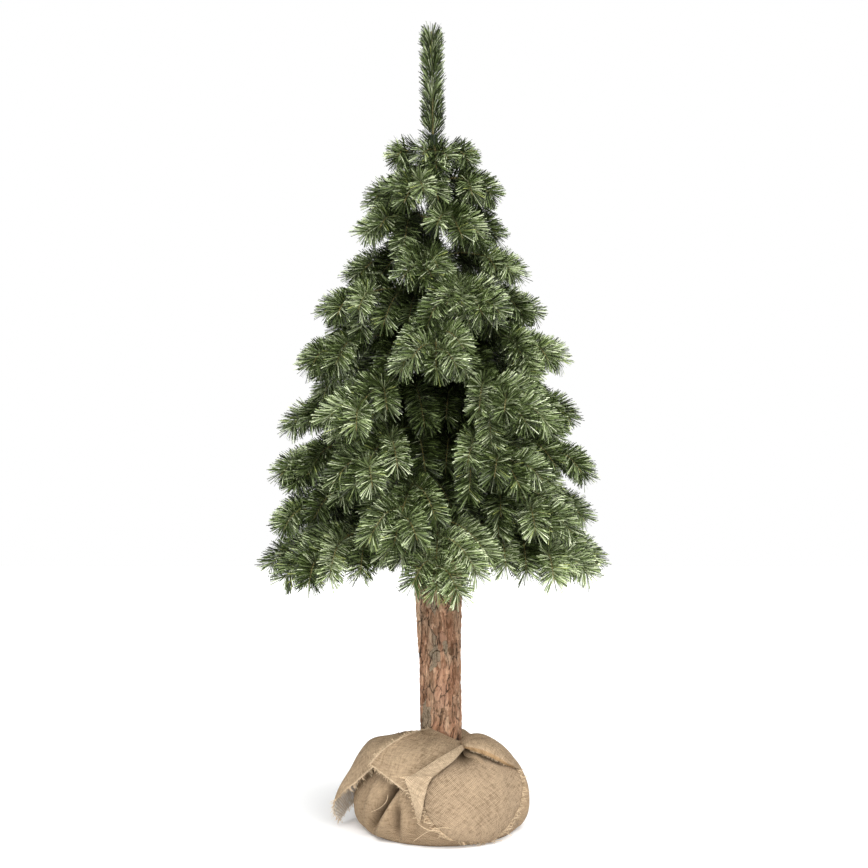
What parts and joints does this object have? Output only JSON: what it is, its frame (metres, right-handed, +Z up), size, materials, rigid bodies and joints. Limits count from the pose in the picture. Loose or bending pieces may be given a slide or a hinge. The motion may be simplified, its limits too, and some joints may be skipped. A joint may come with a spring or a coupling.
{
  "type": "artificial christmas tree",
  "caption": "Artificial christmas tree: drooping tiers of needle branches on a pole let into a natural pine log, standing in a weighted foot wrapped in burlap.",
  "frame": {"origin": "centre of the foot's flat underside, on the floor", "axes": "+Z up along the trunk, -Y towards the front of the tree, +X to its right as seen from the front"},
  "size_m": [0.7916, 0.781, 1.8],
  "materials": {
    "bark": "rough furrowed pine bark",
    "steel": "dark green painted steel",
    "burlap": "coarse plain-woven jute",
    "needles": "cut plastic-foil needles, satin"
  },
  "bodies": {
    "root": {"trunk_log": "bark", "pole": "steel", "burlap_foot": "burlap", "bough_10_1": "steel", "bough_10_2": "steel", "bough_10_3": "steel", "bough_10_4": "steel", "bough_10_5": "steel", "bough_10_6": "steel", "bough_10_7": "steel", "needles_01_1": "needles", "needles_01_2": "needles", "needles_01_3": "needles", "needles_01_4": "needles", "needles_02_1": "needles", "needles_02_2": "needles", "needles_02_3": "needles", "needles_02_4": "needles", "needles_03_1": "needles", "needles_03_2": "needles", "needles_03_3": "needles", "needles_03_4": "needles", "needles_04_1": "needles", "needles_04_2": "needles", "needles_04_3": "needles", "needles_04_4": "needles", "needles_05_1": "needles", "needles_05_2": "needles", "needles_05_3": "needles", "needles_05_4": "needles", "needles_06_1": "needles", "needles_06_2": "needles", "needles_06_3": "needles", "needles_06_4": "needles", "needles_06_5": "needles", "needles_07_1": "needles", "needles_07_2": "needles", "needles_07_3": "needles", "needles_07_4": "needles", "needles_07_5": "needles", "needles_08_1": "needles", "needles_08_2": "needles", "needles_08_3": "needles", "needles_08_4": "needles", "needles_08_5": "needles", "needles_08_6": "needles", "needles_09_1": "needles", "needles_09_2": "needles", "needles_09_3": "needles", "needles_09_4": "needles", "needles_09_5": "needles", "needles_09_6": "needles", "needles_10_1": "needles", "needles_10_2": "needles", "needles_10_3": "needles", "needles_10_4": "needles", "needles_10_5": "needles", "needles_10_6": "needles", "needles_10_7": "needles", "needles_leader": "needles"}
  },
  "joints": []
}
